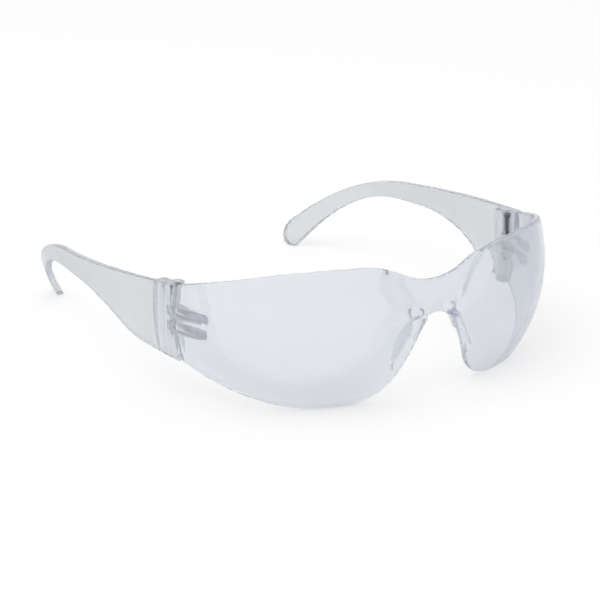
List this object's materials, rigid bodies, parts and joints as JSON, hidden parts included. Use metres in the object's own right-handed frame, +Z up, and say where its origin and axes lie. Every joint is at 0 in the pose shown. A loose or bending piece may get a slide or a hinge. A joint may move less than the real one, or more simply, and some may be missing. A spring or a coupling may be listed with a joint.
{
  "type": "safety glasses",
  "caption": "Clear wraparound safety glasses: a one-piece domed front with nose notch and pads, and curved temples that fold in on screwed hinges.",
  "frame": {"origin": "on the ground plane under the middle of the part: midway between the two sides, midway between the foremost point of the front and the rear end of the temples", "axes": "+X to the wearer's left, +Y from the front back to the temple tips, +Z up"},
  "size_m": [0.153, 0.1674, 0.0489],
  "materials": {
    "clear_lens": "clear polished polycarbonate with a faint blue-grey tint",
    "clear_temple": "clear moulded polycarbonate",
    "hinge_screw": "dark plated steel"
  },
  "bodies": {
    "front": {"lens": "clear_lens"},
    "left_arm": {"left_temple": "clear_temple", "left_hinge_screw": "hinge_screw"},
    "right_arm": {"right_temple": "clear_temple", "right_hinge_screw": "hinge_screw"}
  },
  "joints": [
    {"name": "left_fold", "type": "hinge", "parent": "front", "child": "left_arm", "pos_m": [0.0686, -0.03345, 0.0275], "axis": [0, 0, 1], "range_deg": [0, 90]},
    {"name": "right_fold", "type": "hinge", "parent": "front", "child": "right_arm", "pos_m": [-0.0686, -0.03345, 0.0275], "axis": [0, 0, -1], "range_deg": [0, 75]}
  ]
}
